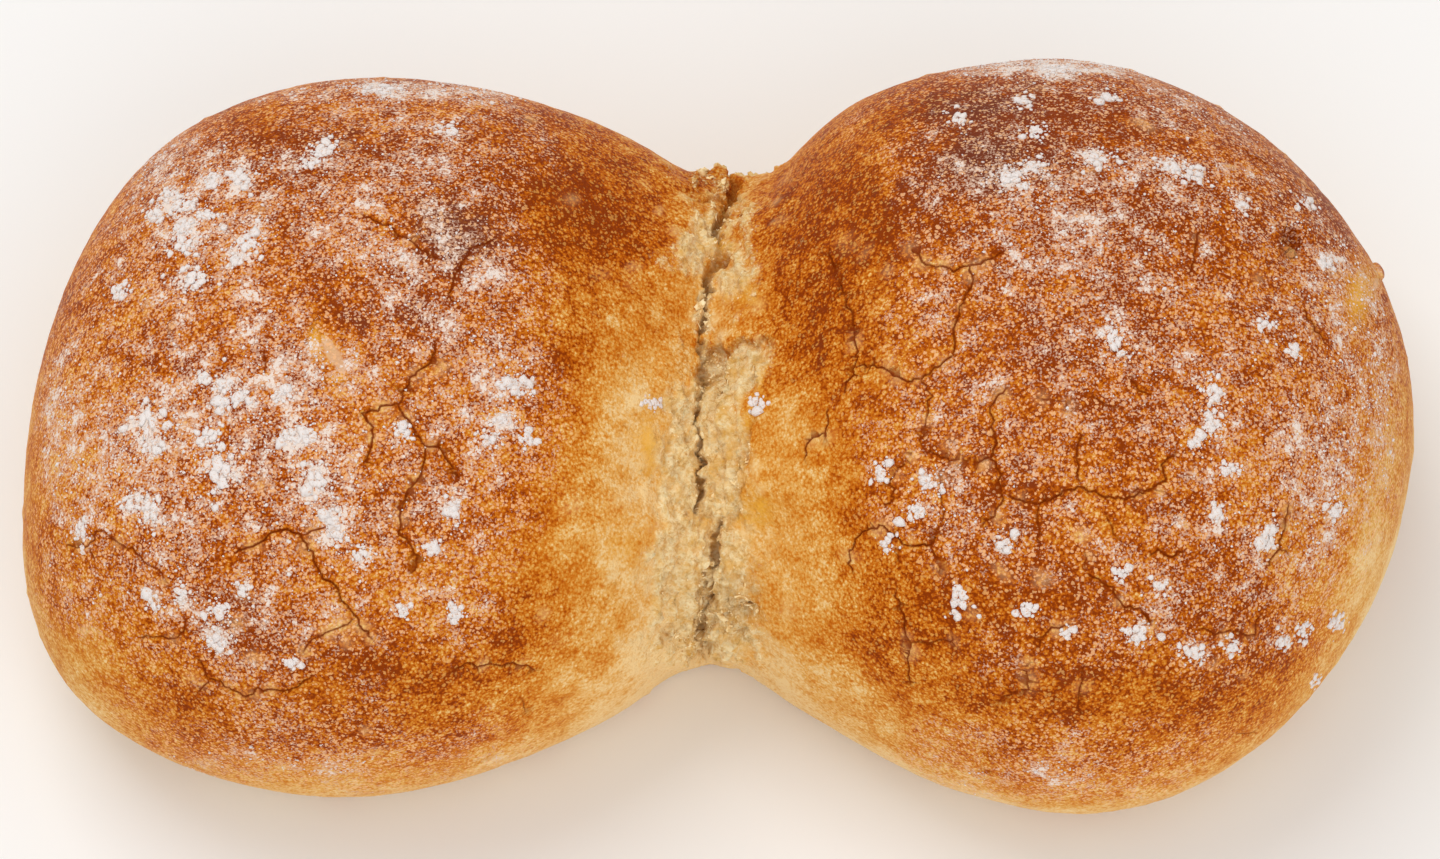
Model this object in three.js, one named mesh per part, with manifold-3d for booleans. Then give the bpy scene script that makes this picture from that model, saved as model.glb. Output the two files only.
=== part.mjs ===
// A double bread roll: two round wheat rolls that were proved side by side and baked as one piece. They have
// grown together at a neck, and the crust is torn open along the seam between them.
//
// Millimetres, +Z up. X runs along the length, through both rolls, and Y from the near side to the far side.
// The origin is the middle of the flat underside. The skin is lofted like a ship's hull: a ring of points stands
// across the length at each station, and formulas for the outline and the crown give each ring its size.

import * as THREE from "three";
import { LoftGeometry } from "three/addons/geometries/LoftGeometry.js";
import { ImprovedNoise } from "three/addons/math/ImprovedNoise.js";
import { mergeVertices } from "three/addons/utils/BufferGeometryUtils.js";
import Module from "manifold-3d";

// The two rolls. tip: the outer end. middle: where the roll is widest and highest. inner: how far past its
// middle it would have reached if baked alone. far and near: how far its two sides are from the centre line.
// tipY: how far the tip is from it. crown: the height. fullness: how square each quarter of the outline is, where
// 2 is an ellipse, first towards the tip and then towards the neck.
const LEFT = {
  tip: -87, middle: -43, inner: 56, far: 50.2, near: 43.5, tipY: -9, crown: 52,
  fullness: { far: [2.33, 1.98], near: [2.45, 1.58] },
};
const RIGHT = {
  tip: 87.4, middle: 42.7, inner: 55.6, far: 52.3, near: 46, tipY: 5, crown: 56,
  fullness: { far: [1.83, 2.05], near: [1.94, 1.5] },
};

// The neck, where they have grown together. dip: how far its lower crown reaches along x. pinch: the same for
// its sides. blend: how softly the two rolls run into each other.
const SEAM_X = -1.5;
const NECK = { far: 39.5, near: 25.5, crown: 40, dip: 25, pinch: 9, blend: 2.5 };

// The level at which the rolls are widest, and how deep their lower curve would go if the oven floor had not
// pressed it flat.
const WAIST = 18;
const KEEL = 28;

// How full the profile along the length is, and the upper and lower halves of each ring.
const FULLNESS = { crown: 2.25, dome: 2.15, flank: 2.5 };

// The seam is a ragged valley with a crevice along its bottom. Its line wanders: [y, x] from far to near.
const VALLEY = { depth: 2.6, width: 5.5 };
const CREVICE = { depth: 4, width: 1.2, shallowest: 0.35, stretch: 7 };
const SEAM_LINE = [
  [33, 2.3], [21, 0.7], [13, -1.3], [3, -2.5], [-9, -3], [-14.4, -3.6], [-18, -0.2], [-21, -0.8], [-25, -2],
];
const SEAM_GRIP = 14;
const TEAR = { reach: 8, height: 1.6, grain: 4.5 };

// Broad unevenness of dough shaped by hand, which dies out towards the oven floor.
const DENT = { height: 0.9, size: 22 };
const FLOOR_FADE = 5;

// Points round each ring, with those of the underside, and rings along each stretch of the length. first: how far
// the outermost ring is from the tip, in steps. LOWEST: at a tip, the part of the keel that counts as underside.
const RING = { around: 68, under: 8 };
const RINGS = { cap: 17, first: 0.4, shoulder: 20, crowding: 1.6 };
const LOWEST = 0.93;

// Holes where bubbles burst, a flap of crust that lifted, and a knob of torn dough. angle: the place round the
// ring, from 0 at the far side over 90 at the top. size: half lengths along x, round the ring, and outwards.
const PITS = [
  { x: 70.8, angle: 70, size: [1.3, 2.2, 1.7] },
  { x: -28.8, angle: 186, size: [1.5, 0.7, 1.1] },
  { x: 32.8, angle: 178, size: [0.8, 0.7, 1.1] },
];
const LUMPS = [
  { x: 82.6, angle: 40, size: [1, 3.2, 0.8] },
  { x: -2.2, angle: 20, size: [3.6, 3, 2] },
];
const BALL = { around: 14, rows: 9 };

const noise = new ImprovedNoise();
const { clamp, lerp, smoothstep, degToRad } = THREE.MathUtils;

// A bell of height 1 at 0, which has fallen to about a third at `width`.
const bell = (distance, width) => Math.exp(-((distance / width) ** 2));

// A quarter of a superellipse: 1 at the middle, 0 at the end.
const quarter = (t, fullness) => Math.max(0, 1 - t ** fullness) ** (1 / fullness);

// A power that keeps its sign, for a superellipse round the whole ring.
const bend = (value, fullness) => Math.sign(value) * Math.abs(value) ** (2 / fullness);

// The larger of two numbers, with the corner between them rounded.
function smoothMax(a, b, round) {
  const h = clamp(0.5 + (a - b) / (2 * round), 0, 1);
  return lerp(b, a, h) + round * h * (1 - h);
}

// One roll's sides, crown and keel at x, as if it stood alone.
function rollAt(roll, x) {
  const fromMiddle = (x - roll.middle) / (roll.tip - roll.middle);
  const tipward = fromMiddle > 0;
  const t = Math.min(1, tipward ? fromMiddle : Math.abs(x - roll.middle) / roll.inner);
  const side = (name) => quarter(t, roll.fullness[name][tipward ? 0 : 1]);
  const swing = tipward ? roll.tipY : 0;
  return {
    far: lerp(swing, roll.far, side("far")),
    near: lerp(-swing, roll.near, side("near")),
    rise: quarter(t, FULLNESS.crown) * (roll.crown - WAIST),
    keel: KEEL * (tipward ? quarter(t, 2) : 1),
  };
}

// The middle, half width, rise and keel of the ring at x: the two rolls, run together at the neck.
function frameAt(x) {
  const left = rollAt(LEFT, x);
  const right = rollAt(RIGHT, x);
  const joined = (name, atNeck, reach) =>
    lerp(smoothMax(left[name], right[name], NECK.blend), atNeck, bell(x - SEAM_X, reach) ** 3);
  const far = joined("far", NECK.far, NECK.pinch);
  const near = joined("near", NECK.near, NECK.pinch);
  return {
    middle: (far - near) / 2,
    half: (far + near) / 2,
    rise: joined("rise", NECK.crown - WAIST, NECK.dip),
    keel: Math.min(left.keel, right.keel),
  };
}

// The seam's x at a given y: a smooth line through its points.
function seamAt(y) {
  const next = SEAM_LINE.findIndex(([at]) => at < y);
  const i = clamp(next < 0 ? SEAM_LINE.length : next, 1, SEAM_LINE.length - 1);
  const [[y0, x0], [y1, x1]] = [SEAM_LINE[i - 1], SEAM_LINE[i]];
  return lerp(x0, x1, smoothstep(y0 - y, 0, y0 - y1));
}

// How far the skin stands out from the plain loft at p. up is 1 at the top of the ring and 0 at the sides.
function relief({ x, y, z }, fromSeam, up) {
  const dents = DENT.height * noise.noise(x / DENT.size, y / DENT.size, z / DENT.size + 3.7);
  const torn = TEAR.height * noise.noise(x / TEAR.grain, y / TEAR.grain, z / TEAR.grain) * bell(fromSeam, TEAR.reach);
  const open = clamp(0.65 + noise.noise(y / CREVICE.stretch, z / CREVICE.stretch, 8.3), CREVICE.shallowest, 1);
  const valley = VALLEY.depth * up * bell(fromSeam, VALLEY.width);
  const crevice = CREVICE.depth * open * bell(fromSeam, CREVICE.width);
  return (dents + torn - valley - crevice) * smoothstep(z, 0, FLOOR_FADE);
}

// The point of the skin at x, at an angle round the ring: 0 at the far side, a quarter turn at the top.
function skin(x, angle) {
  const { middle, half, rise, keel } = frameAt(x);
  const c = Math.cos(angle);
  const s = Math.sin(angle);
  const fullness = s > 0 ? FULLNESS.dome : FULLNESS.flank;
  const out = new THREE.Vector3(0, half * bend(c, fullness), (s > 0 ? rise : keel) * bend(s, fullness));
  const p = new THREE.Vector3(x, middle, WAIST).add(out);
  p.z = Math.max(0, p.z);
  const fromSeam = x - SEAM_X;
  p.x += (seamAt(p.y) - SEAM_X) * bell(fromSeam, SEAM_GRIP);
  const outwards = relief(p, fromSeam, Math.max(0, s));
  p.addScaledVector(out.normalize(), outwards * bell(1 / (half + 1), 1));
  p.z = Math.max(0, p.z);
  return p;
}

// The ring at x. Its underside, from where the curve reaches the oven floor, has fewer points.
function ring(x) {
  const depth = Math.min(LOWEST, WAIST / Math.max(frameAt(x).keel, 1));
  const floor = -Math.asin(depth ** (FULLNESS.flank / 2));
  const points = [];
  const arc = (from, to, count) => {
    for (let i = 0; i < count; i++) points.push(skin(x, lerp(from, to, i / count)));
  };
  arc(floor, Math.PI - floor, RING.around - RING.under);
  arc(Math.PI - floor, 2 * Math.PI + floor, RING.under);
  return points;
}

// The stations, from left to right: close together at the tips and at the seam, where the skin turns fastest.
function stations() {
  const list = [SEAM_X];
  for (const roll of [LEFT, RIGHT]) {
    for (let i = 0; i < RINGS.cap; i++) {
      const turn = (Math.PI / 2) * ((i + RINGS.first) / (RINGS.cap - 1 + RINGS.first));
      list.push(lerp(roll.middle, roll.tip, Math.cos(turn)));
    }
    for (let i = 1; i < RINGS.shoulder; i++) {
      list.push(lerp(SEAM_X, roll.middle, (i / RINGS.shoulder) ** RINGS.crowding));
    }
  }
  return list.sort((a, b) => a - b);
}

const wasm = await Module();
wasm.setup();

// A closed geometry as a solid that can be cut and joined.
function solidOf(geometry) {
  const bare = new THREE.BufferGeometry().setAttribute("position", geometry.attributes.position);
  const welded = mergeVertices(bare.setIndex(geometry.index), 1e-4);
  const vertProperties = new Float32Array(welded.attributes.position.array);
  const triVerts = new Uint32Array(welded.index.array);
  return new wasm.Manifold(new wasm.Mesh({ numProp: 3, vertProperties, triVerts }));
}

// A rounded lump on the skin, or the cutter of a pit there, set square to the skin.
function lump({ x, angle, size }) {
  const turn = degToRad(angle);
  const at = skin(x, turn);
  const round = skin(x, turn + 0.02).sub(at).normalize();
  const outward = skin(x + 0.5, turn).sub(at).cross(round).normalize();
  const lengthwise = new THREE.Vector3().crossVectors(round, outward);
  const placed = new THREE.Matrix4().makeBasis(lengthwise, round, outward).setPosition(at);
  return solidOf(new THREE.SphereGeometry(1, BALL.around, BALL.rows).scale(...size).applyMatrix4(placed));
}

// The whole roll as one geometry, its lumps joined on and its pits cut, with its underside's middle at the origin.
function rollGeometry() {
  let solid = solidOf(new LoftGeometry(stations().map(ring), { capStart: true, capEnd: true }));
  for (const raised of LUMPS) solid = solid.add(lump(raised));
  for (const pit of PITS) solid = solid.subtract(lump(pit));
  const { vertProperties, triVerts } = solid.getMesh();
  const geometry = new THREE.BufferGeometry();
  geometry.setAttribute("position", new THREE.BufferAttribute(new Float32Array(vertProperties), 3));
  geometry.setIndex(new THREE.BufferAttribute(new Uint32Array(triVerts), 1));
  geometry.computeBoundingBox();
  const centre = geometry.boundingBox.getCenter(new THREE.Vector3());
  geometry.translate(-centre.x, -centre.y, -geometry.boundingBox.min.z);
  geometry.computeVertexNormals();
  return geometry;
}

const browned = new THREE.MeshStandardMaterial({ color: 0xb8702f, roughness: 0.75, metalness: 0 });
const roll = new THREE.Mesh(rollGeometry(), browned);
roll.name = "bread_roll";

const part = new THREE.Group();
part.add(roll);
export default part;
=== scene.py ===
"""The looks of a double bread roll: two wheat rolls baked together, dusted with flour, torn along their seam.

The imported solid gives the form. This script dresses it with a finely divided crust that has the seam's torn
crumb, the crust's cracks, blisters and burst bubbles as relief, and with the flour that lies on it.
"""

import math

import bpy
import numpy as np
from mathutils import Matrix, Vector, kdtree, noise
from mathutils.bvhtree import BVHTree


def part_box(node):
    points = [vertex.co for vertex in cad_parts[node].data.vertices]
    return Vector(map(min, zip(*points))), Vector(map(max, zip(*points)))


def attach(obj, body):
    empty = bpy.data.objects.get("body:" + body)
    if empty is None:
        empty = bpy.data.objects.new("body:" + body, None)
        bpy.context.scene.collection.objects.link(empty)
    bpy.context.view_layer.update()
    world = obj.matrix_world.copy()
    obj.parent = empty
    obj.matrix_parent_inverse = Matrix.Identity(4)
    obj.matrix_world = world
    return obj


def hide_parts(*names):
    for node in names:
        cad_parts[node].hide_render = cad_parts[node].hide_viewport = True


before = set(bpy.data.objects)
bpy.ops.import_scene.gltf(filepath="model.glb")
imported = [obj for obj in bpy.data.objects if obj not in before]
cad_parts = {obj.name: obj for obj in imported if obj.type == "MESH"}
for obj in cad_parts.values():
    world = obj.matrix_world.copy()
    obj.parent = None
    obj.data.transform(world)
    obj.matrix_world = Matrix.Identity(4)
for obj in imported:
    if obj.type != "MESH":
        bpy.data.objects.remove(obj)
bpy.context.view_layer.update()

bl_info = {
    "name": "Double Bread Roll",
    "version": (1, 0, 0),
    "blender": (4, 5, 0),
    "location": "3D View > Sidebar > Bread",
    "description": "Dresses a double bread roll with crust, torn crumb and flour, on a plain stage",
    "category": "Object",
}

MM = 0.001
ROLL = "bread_roll"

# The photograph's view: straight along +Y, from above, through a long lens.
PHOTO = (1440, 859)
VIEW = {
    "elevation": math.radians(64), "target": (0, 0, 19.57 * MM), "distance": 982.4 * MM, "width": 181.1 * MM,
}

# The crevice along the seam, from the far side to the near side: pixels of the photograph, and there its half
# width and its depth in mm.
CREVICE = (
    (735, 185, 0.5, 1.2), (728, 202, 0.45, 1.6), (722, 214, 0.5, 1.4), (715, 231, 0.5, 1.8), (720, 244, 0.5, 0.9),
    (722, 256, 0.9, 1.3), (712, 268, 0.6, 1.3), (706, 281, 0.35, 1.6), (709, 292, 0.45, 1.8), (704, 305, 0.3, 1.3),
    (706, 325, 0.35, 1.4), (700, 345, 0.28, 1.2), (702, 372, 0.4, 1.3), (702, 390, 0.35, 0.9), (698, 405, 0.25, 0.9),
    (697, 418, 0.25, 1.3), (695, 430, 0.28, 1.5), (700, 440, 0.3, 1.4), (697, 452, 0.28, 1.3), (703, 461, 0.3, 1.5),
    (697, 470, 0.28, 1.4), (701, 486, 0.35, 1.6), (700, 500, 0.36, 1.6), (693, 513, 0.3, 1.0), (695, 516, 0.3, 0.1),
    (718, 522, 0.35, 0.1), (720, 527, 0.4, 1.2), (716, 541, 0.4, 1.3), (713, 555, 0.3, 1.3), (717, 566, 0.5, 1.6),
    (711, 580, 0.3, 1.2), (706, 587, 0.25, 1.0), (708, 600, 0.25, 0.9), (703, 612, 0.25, 0.8), (700, 622, 0.3, 1.0),
    (702, 636, 0.25, 0.8), (706, 652, 0.2, 0.4),
)

# The cracks in the crust, in pixels of the photograph, with how open each is.
CRACKS = (
    (0.8, ((361, 216), (378, 221), (410, 242), (428, 253), (444, 260))),
    (0.8, ((496, 239), (470, 249), (456, 275), (448, 294), (456, 306))),
    (0.9, ((436, 340), (435, 358), (410, 380), (398, 404), (378, 409), (363, 413), (372, 427), (372, 446), (364, 467))),
    (0.9, ((398, 404), (412, 428), (425, 446), (438, 446), (450, 464), (462, 480))),
    (0.9, ((425, 446), (425, 461), (416, 483), (405, 495), (401, 513), (399, 535), (412, 544), (418, 562), (410, 574))),
    (1.0, ((233, 553), (260, 544), (280, 529), (300, 535), (312, 553), (320, 574), (338, 590), (344, 605), (357, 619), (372, 640))),
    (0.7, ((357, 619), (334, 630), (312, 639), (303, 654))),
    (0.6, ((303, 535), (330, 525))),
    (0.6, ((67, 547), (90, 547), (96, 532), (113, 538), (132, 551), (159, 571), (168, 584))),
    (0.5, ((90, 547), (95, 562))),
    (0.7, ((138, 639), (153, 636), (171, 639), (184, 634), (185, 614))),
    (0.8, ((196, 659), (211, 677), (226, 685), (245, 697), (260, 688), (291, 691), (312, 675))),
    (0.6, ((211, 677), (196, 694))),
    (0.6, ((266, 349), (265, 374))),
    (0.8, ((455, 672), (466, 664), (500, 665), (528, 665), (534, 670))),
    (0.5, ((521, 699), (528, 715))),
    (1.0, ((828, 249), (836, 276), (851, 312), (856, 342), (856, 365), (843, 392))),
    (0.9, ((856, 365), (884, 368), (908, 382), (921, 378), (957, 355))),
    (0.6, ((921, 378), (931, 395), (921, 445))),
    (0.9, ((911, 246), (927, 266), (957, 269), (969, 266), (991, 260), (1004, 250))),
    (0.9, ((969, 266), (972, 279), (959, 314), (954, 337), (953, 356))),
    (0.8, ((828, 408), (826, 435), (821, 433), (806, 443), (805, 460))),
    (0.8, ((1005, 386), (997, 396), (990, 408), (992, 421), (996, 442), (991, 457), (1001, 477), (1001, 500), (997, 512),
           (981, 525))),
    (0.8, ((991, 457), (974, 462), (959, 460), (944, 458), (922, 451))),
    (0.6, ((914, 450), (906, 464), (894, 474), (888, 480), (893, 489), (892, 500), (886, 510))),
    (0.5, ((939, 469), (942, 483), (942, 505), (944, 513), (942, 524))),
    (0.5, ((1127, 491), (1152, 489), (1163, 492))),
    (0.5, ((1036, 397), (1064, 402), (1066, 411))),
    (0.5, ((1107, 514), (1113, 536), (1124, 547))),
    (0.5, ((1085, 550), (1085, 573))),
    (0.8, ((1080, 433), (1077, 455), (1079, 484))),
    (0.9, ((1007, 496), (1036, 503), (1048, 500), (1068, 490), (1083, 487), (1099, 495), (1122, 500), (1144, 493),
           (1160, 484), (1166, 477), (1163, 465), (1176, 450))),
    (0.6, ((1039, 503), (1039, 519), (1040, 547))),
    (0.8, ((1085, 573), (1112, 589), (1126, 608), (1141, 608), (1152, 624))),
    (0.8, ((1147, 557), (1157, 551), (1171, 557), (1185, 549))),
    (0.8, ((1288, 503), (1284, 532), (1278, 547), (1265, 567))),
    (0.5, ((1278, 547), (1291, 557))),
    (0.7, ((1259, 611), (1256, 634), (1237, 632), (1217, 632), (1195, 630))),
    (0.7, ((1068, 624), (1045, 632), (1037, 648))),
    (0.7, ((1085, 665), (1079, 685), (1077, 707), (1080, 716))),
    (0.6, ((1028, 662), (1026, 688), (1004, 697), (996, 710))),
    (0.9, ((851, 573), (851, 543), (868, 530), (884, 526), (904, 546), (931, 546), (937, 526))),
    (0.6, ((931, 546), (942, 576))),
    (0.5, ((904, 546), (894, 563))),
    (0.9, ((894, 592), (904, 616), (909, 642), (908, 665), (911, 685))),
    (0.6, ((909, 642), (931, 642), (957, 639))),
    (0.6, ((1090, 391), (1099, 403), (1119, 407))),
    (0.7, ((1131, 375), (1139, 391), (1150, 394))),
    (0.8, ((1200, 231), (1195, 257), (1190, 273))),
    (0.7, ((1240, 148), (1268, 164))),
    (0.8, ((1305, 308), (1316, 330), (1326, 346))),
    (0.5, ((1237, 734), (1256, 732))),
)

# Thick clots of flour: their middle and half width and height, in pixels of the photograph.
CLOTS = (
    (181, 206, 15, 7), (183, 226, 9, 8), (213, 179, 8, 7), (238, 177, 10, 9), (246, 242, 11, 11), (205, 213, 7, 4),
    (235, 261, 4, 6), (155, 215, 9, 8), (170, 195, 7, 5), (183, 244, 11, 9), (326, 147, 12, 10), (309, 162, 8, 7),
    (384, 89, 13, 6), (450, 129, 9, 6), (196, 279, 13, 9), (118, 292, 9, 9), (203, 377, 5, 5), (222, 386, 6, 5),
    (242, 397, 7, 5), (225, 404, 6, 5), (281, 395, 6, 4), (147, 423, 9, 18), (208, 436, 9, 8), (289, 435, 8, 8),
    (308, 436, 10, 9), (315, 480, 9, 12), (220, 473, 12, 20), (156, 447, 6, 8), (404, 432, 7, 8), (150, 510, 9, 13),
    (130, 504, 6, 6), (80, 529, 6, 10), (453, 512, 5, 7), (433, 547, 5, 6), (331, 519, 7, 6), (337, 535, 7, 7),
    (361, 556, 7, 6), (220, 608, 8, 6), (216, 642, 12, 9), (245, 590, 6, 5), (153, 602, 6, 8), (182, 596, 5, 6),
    (404, 611, 5, 5), (456, 611, 5, 5), (292, 663, 5, 4), (513, 385, 7, 6), (528, 383, 6, 6), (503, 421, 8, 7),
    (486, 440, 7, 6), (528, 439, 6, 5), (652, 403, 6, 7), (455, 510, 5, 7), (457, 616, 5, 4), (758, 403, 6, 7),
    (959, 118, 10, 7), (1024, 101, 9, 6), (1036, 132, 8, 6), (1010, 177, 14, 8), (1034, 167, 9, 7),
    (1096, 160, 13, 8), (1170, 167, 9, 7), (1192, 175, 10, 7), (1106, 97, 7, 4), (1058, 69, 14, 6),
    (1114, 340, 8, 13), (1213, 394, 8, 13), (1211, 423, 6, 8), (1307, 203, 7, 6), (1326, 263, 6, 6),
    (1294, 349, 7, 7), (1268, 324, 6, 6), (1243, 206, 7, 5), (1195, 442, 6, 6), (1214, 426, 6, 6), (1230, 468, 7, 6),
    (1217, 512, 6, 7), (1268, 538, 7, 15), (1337, 509, 6, 8), (959, 599, 10, 13), (1005, 543, 6, 6),
    (1120, 573, 6, 5), (1160, 586, 6, 5), (1138, 637, 9, 7), (1195, 653, 12, 7), (1232, 648, 7, 5),
    (1283, 640, 6, 7), (1303, 630, 6, 7), (1028, 611, 6, 5), (1069, 632, 5, 4), (1339, 624, 6, 8), (1316, 681, 5, 6),
    (927, 483, 8, 8), (918, 510, 8, 8), (881, 473, 6, 8), (886, 543, 6, 6),
)

# Where flour lies as a film, and where the crust is bare: middle, half width and height in pixels, and amount.
FILM = (
    (200, 215, 80, 70, 0.22), (320, 150, 90, 50, 0.12), (450, 180, 60, 40, 0.14), (400, 255, 80, 50, 0.12),
    (500, 290, 60, 40, 0.1), (230, 440, 110, 90, 0.22), (120, 470, 60, 90, 0.18), (300, 370, 60, 50, 0.2),
    (510, 410, 50, 45, 0.3), (330, 510, 50, 50, 0.2), (200, 600, 90, 60, 0.15), (440, 530, 50, 60, 0.15),
    (980, 200, 80, 60, 0.1), (1150, 180, 90, 50, 0.12), (1120, 330, 40, 40, 0.12), (300, 370, 60, 40, 0.08),
    (1210, 430, 40, 70, 0.18), (1330, 500, 50, 120, 0.26), (1330, 260, 50, 90, 0.2), (930, 500, 50, 50, 0.2),
    (1170, 620, 90, 40, 0.08), (1290, 640, 50, 40, 0.15), (1060, 66, 130, 10, 0.6),
    (440, 92, 130, 12, 0.5), (1200, 100, 90, 30, 0.1), (1080, 260, 60, 40, 0.1), (170, 160, 60, 30, 0.2),
    (60, 420, 26, 110, 0.25), (1385, 430, 20, 110, 0.25), (300, 735, 220, 44, 0.22), (1040, 750, 220, 50, 0.24),
    (60, 600, 50, 60, 0.15), (560, 560, 60, 60, 0.08), (330, 620, 90, 50, 0.1), (640, 420, 50, 40, 0.06),
    (370, 290, 100, 60, 0.1), (1110, 230, 130, 90, 0.12), (300, 765, 200, 26, 0.3), (1050, 780, 160, 22, 0.25),
    (500, 330, 70, 50, 0.12),
)
BARE = (
    (1000, 620, 70, 60, 0.25), (1010, 110, 90, 30, 0.12), (1220, 590, 70, 30, 0.12),
    (620, 230, 70, 75, 0.5), (610, 330, 60, 60, 0.3), (840, 215, 75, 60, 0.5), (830, 330, 60, 70, 0.3),
    (640, 520, 90, 150, 0.5), (800, 560, 90, 150, 0.5), (270, 130, 60, 22, 0.3), (330, 300, 45, 30, 0.3),
    (560, 600, 70, 60, 0.3), (1120, 120, 50, 18, 0.2),
    (1330, 200, 30, 25, 0.2), (1110, 690, 110, 30, 0.25), (900, 620, 50, 60, 0.2), (540, 200, 30, 30, 0.2),
    (400, 680, 120, 40, 0.2), (900, 110, 60, 30, 0.2), (1250, 245, 60, 50, 0.12), (1105, 545, 60, 45, 0.12),
)

# Where the crust is browner or paler than its height alone would make it: partly the oven's browning, and
# partly painted light that pales the side edges and the neck where they lie in shade. Its middle, half width
# and height in pixels, and how much.
BROWNED_AND_PAINTED_LIGHT = (
    (45, 480, 45, 110, -0.2), (1400, 430, 45, 110, -0.2), (90, 640, 60, 60, -0.2), (360, 610, 80, 60, -0.15),
    (600, 380, 60, 60, -0.06), (840, 440, 50, 110, -0.14), (645, 640, 60, 40, -0.22), (360, 400, 50, 40, -0.08),
    (540, 520, 50, 50, -0.08), (540, 340, 40, 40, -0.06), (1000, 610, 70, 60, 0.08), (1170, 740, 120, 40, 0.06),
    (1330, 590, 60, 50, -0.2), (1000, 110, 90, 40, 0.28), (1110, 210, 130, 60, 0.18), (1080, 350, 90, 60, 0.1),
    (712, 180, 30, 10, 0.4), (300, 740, 200, 30, 0.08), (1000, 180, 60, 40, 0.1), (1060, 330, 60, 50, 0.15),
    (320, 180, 120, 60, 0.06), (370, 290, 100, 60, 0.1), (1110, 200, 130, 80, 0.08), (300, 750, 200, 24, 0.08),
    (625, 220, 70, 55, 0.18), (835, 215, 80, 55, 0.28), (455, 235, 45, 40, 0.2), (985, 160, 50, 35, 0.25),
    (300, 150, 110, 30, 0.18), (540, 180, 70, 50, 0.2), (1080, 110, 100, 30, 0.25), (380, 320, 80, 40, 0.18),
    (810, 330, 45, 60, 0.22), (1290, 200, 60, 45, 0.12), (340, 655, 60, 35, 0.15), (230, 640, 60, 40, 0.12),
    (1170, 630, 90, 50, 0.12), (640, 540, 90, 110, -0.38), (800, 600, 80, 110, -0.25),
    (640, 400, 60, 80, -0.2), (790, 450, 40, 90, -0.2), (690, 270, 40, 70, -0.22), (735, 270, 30, 70, -0.15),
    (500, 560, 90, 60, -0.08), (100, 430, 60, 90, -0.1),
    (1370, 520, 30, 70, -0.3), (1340, 560, 60, 50, -0.12), (330, 350, 22, 26, -0.45), (1362, 282, 14, 26, -0.5),
    (560, 690, 60, 40, -0.2), (880, 700, 60, 40, -0.1), (1003, 503, 5, 10, -0.45), (1172, 419, 6, 5, -0.3),
    (1370, 410, 35, 60, -0.12),
)

# Patches that went dark in the oven, and patches that are more yellow than brown.
SCORCHED = (
    (462, 238, 42, 34, 1.0), (985, 165, 46, 28, 1.1), (430, 215, 30, 24, 0.4), (1050, 160, 30, 20, 0.4),
    (1000, 105, 70, 24, 0.5),
    (560, 160, 30, 18, 0.3), (1040, 470, 34, 26, 0.3), (900, 190, 40, 30, 0.3), (380, 320, 60, 30, 0.3),
    (820, 340, 30, 40, 0.3), (1280, 230, 40, 40, 0.2), (950, 115, 60, 30, 0.3), (350, 130, 110, 24, 0.28),
)
GOLD = (
    (648, 452, 10, 22, 0.9), (650, 430, 12, 12, 0.4), (757, 510, 16, 12, 0.9), (742, 424, 9, 9, 0.6),
    (717, 478, 7, 14, 0.4), (744, 298, 16, 9, 0.6), (722, 243, 5, 4, 0.9), (706, 522, 12, 4, 0.6),
    (622, 552, 14, 14, 0.3), (725, 594, 14, 6, 0.5), (1358, 300, 10, 22, 0.9), (315, 342, 6, 15, 0.95),
    (690, 645, 10, 3, 0.8), (760, 380, 6, 22, 0.4), (338, 378, 10, 5, 0.6), (738, 470, 22, 60, 0.22),
)

# Torn crumb beside the crevice: middle, half width and height in pixels, and amount.
TORN = (
    (688, 250, 26, 22, 0.9), (706, 222, 14, 22, 0.8), (737, 275, 20, 32, 0.9), (742, 215, 18, 30, 0.5),
    (712, 180, 20, 12, 0.6), (740, 362, 26, 26, 1.1), (714, 385, 18, 22, 1.1), (676, 405, 18, 16, 0.7),
    (681, 455, 22, 42, 1.1), (720, 440, 28, 46, 1.1), (680, 505, 24, 30, 1.1), (716, 500, 24, 30, 0.9),
    (672, 560, 36, 36, 0.8), (730, 560, 22, 42, 1.0), (690, 612, 36, 34, 1.0), (730, 622, 30, 30, 0.8),
    (655, 650, 46, 22, 0.45), (745, 645, 40, 18, 0.4), (703, 310, 7, 40, 0.8),
)

# Painted shade on the crumb, where it lies deep: middle, half width and height in pixels, and how much.
PAINTED_CRUMB_SHADE = (
    (738, 610, 20, 26, 0.3), (752, 585, 12, 30, 0.2), (715, 362, 10, 18, 0.3), (722, 215, 10, 26, 0.25),
    (746, 450, 5, 20, 0.25), (700, 590, 8, 20, 0.2), (700, 636, 14, 10, 0.2), (686, 420, 10, 14, 0.12),
    (735, 500, 8, 30, 0.15), (668, 640, 14, 8, 0.2), (712, 178, 22, 10, 0.35), (700, 300, 6, 30, 0.2),
)

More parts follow.
